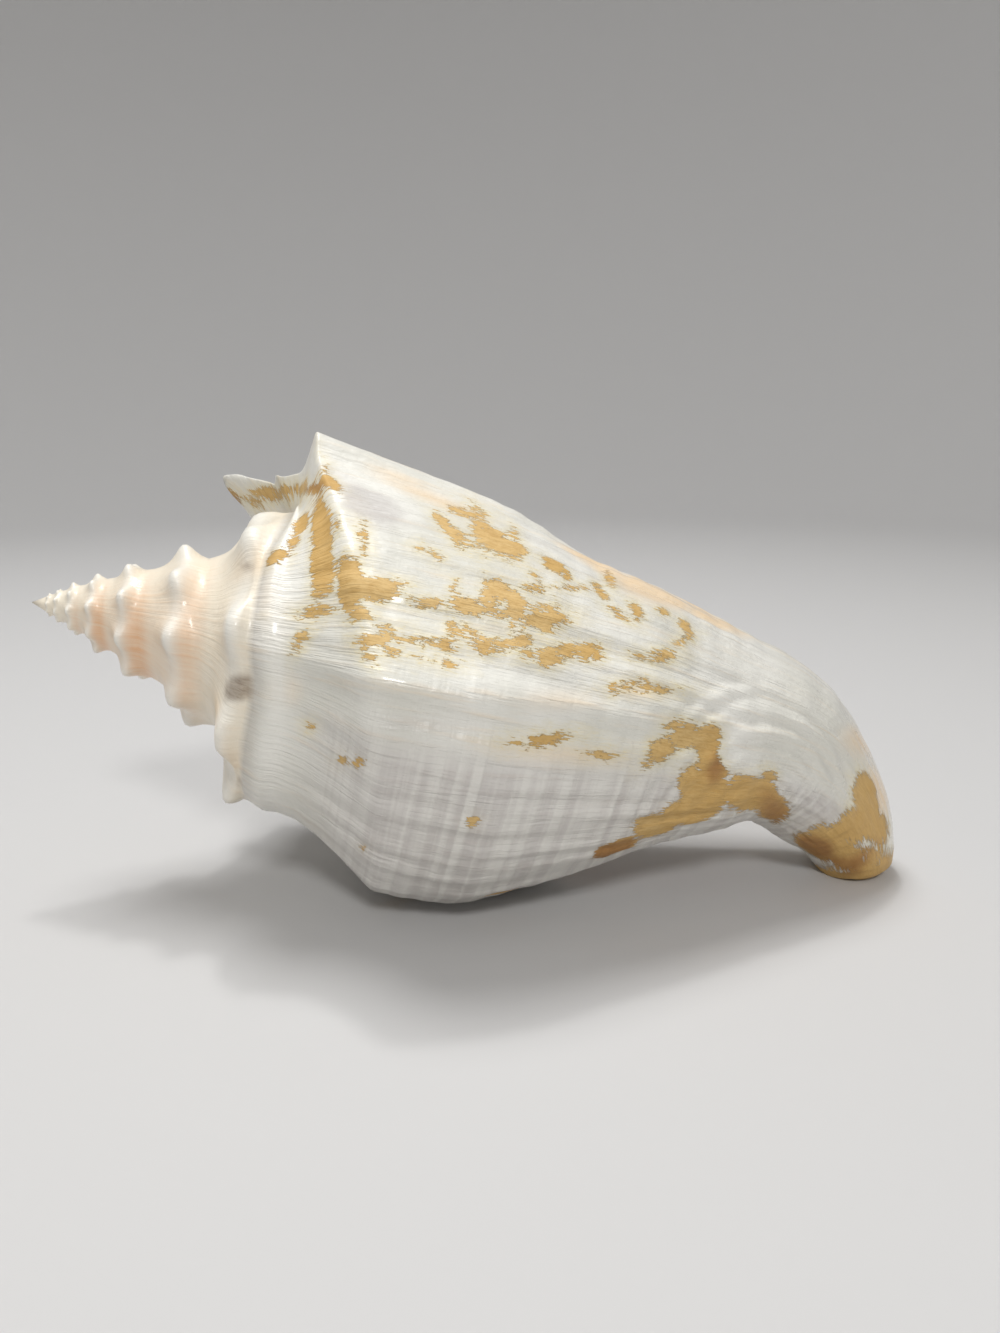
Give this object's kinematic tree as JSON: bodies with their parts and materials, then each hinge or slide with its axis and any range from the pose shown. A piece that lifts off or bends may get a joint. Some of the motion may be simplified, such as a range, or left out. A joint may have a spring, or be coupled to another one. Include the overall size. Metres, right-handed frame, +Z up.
{
  "type": "conch shell",
  "caption": "Large spiral sea shell with a knobbed pointed spire, a wide tapering last whorl, a hooked beak and a hollow behind its thin lip; a display piece that lies on its own weight.",
  "frame": {"origin": "middle of the shell's box at table height", "axes": "+X from the pointed spire toward the beak, +Z up from the table, -Y toward the side the picture shows"},
  "size_m": [0.196, 0.09, 0.1021],
  "materials": {
    "shell": "chalky white shell with a soft shine and patches of flaking tan skin"
  },
  "bodies": {
    "root": {"conch_shell": "shell"}
  },
  "joints": []
}
